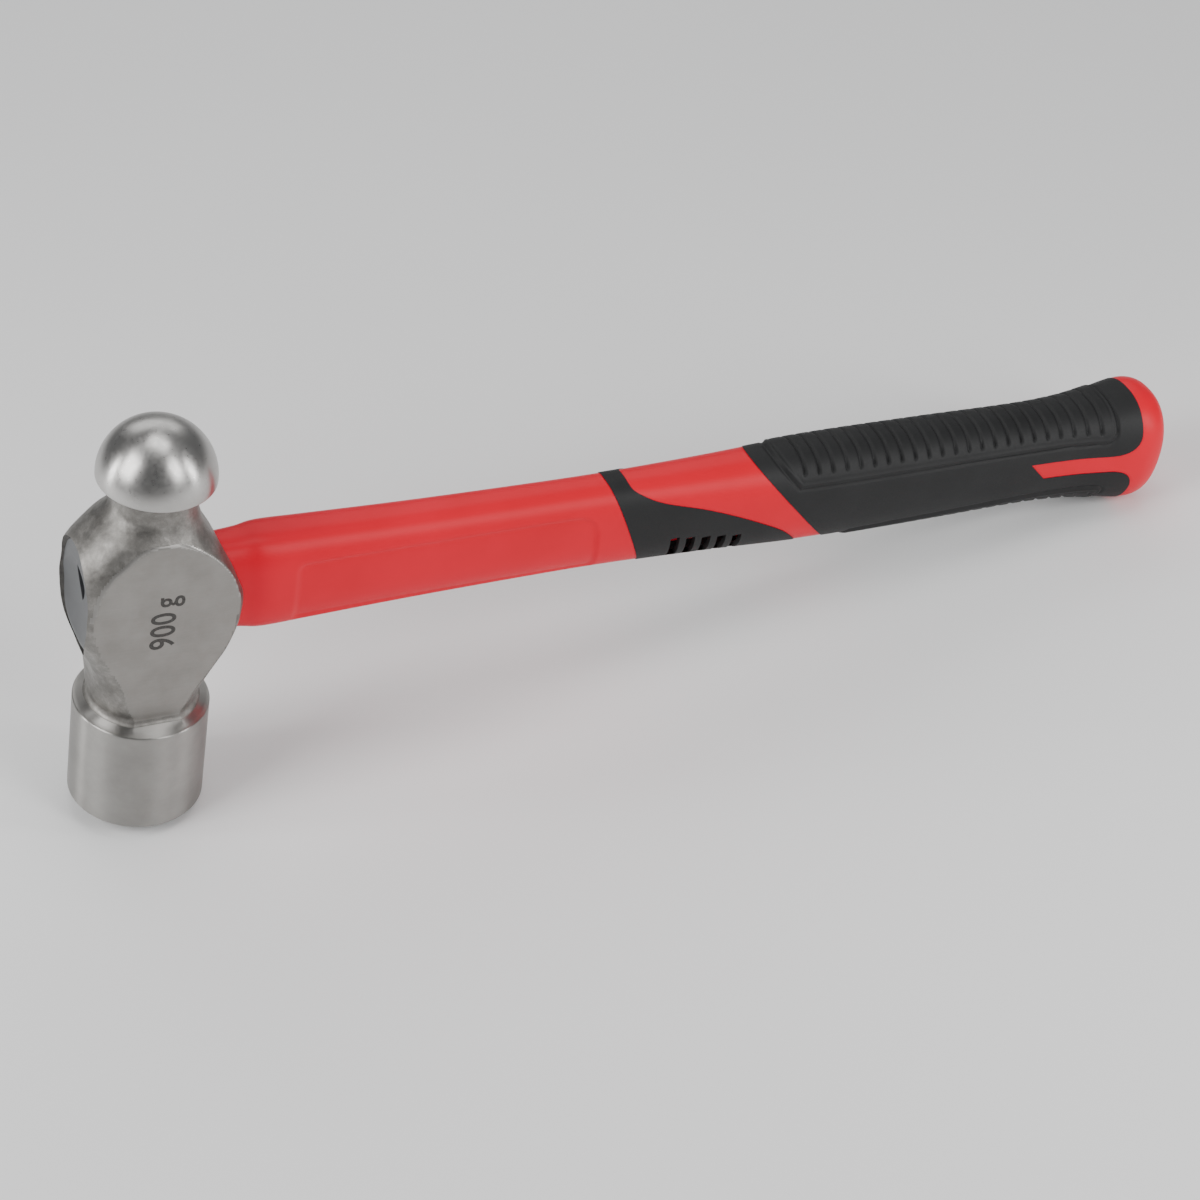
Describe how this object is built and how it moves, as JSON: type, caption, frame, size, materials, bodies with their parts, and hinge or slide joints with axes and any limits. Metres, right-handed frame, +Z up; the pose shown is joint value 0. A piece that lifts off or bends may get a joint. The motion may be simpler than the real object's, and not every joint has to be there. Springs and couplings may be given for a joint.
{
  "type": "ball peen hammer",
  "caption": "Ball peen hammer: steel head with a striking face and a ball, set in resin on a fibreglass-cored red handle with soft black grips.",
  "frame": {"origin": "middle of the bounding box in X and Y, on the level surface the hammer stands on", "axes": "+X from the head towards the butt, +Y from the cheek with the weight mark to the plain one, +Z up; the head axis leans 9.8 degrees from Z towards +X"},
  "size_m": [0.374, 0.0404, 0.1354],
  "materials": {
    "steel": "ground and polished working faces, duller forged skin between them",
    "grey_resin": "cast, satin",
    "glass_fibre": "dark pultruded bar",
    "red_plastic": "satin gloss moulding",
    "black_rubber": "soft matt moulding"
  },
  "bodies": {
    "root": {"hammer_head": "steel", "eye_resin": "grey_resin", "glass_fibre_core": "glass_fibre", "handle_jacket": "red_plastic", "front_collar": "black_rubber", "main_grip": "black_rubber"}
  },
  "joints": []
}
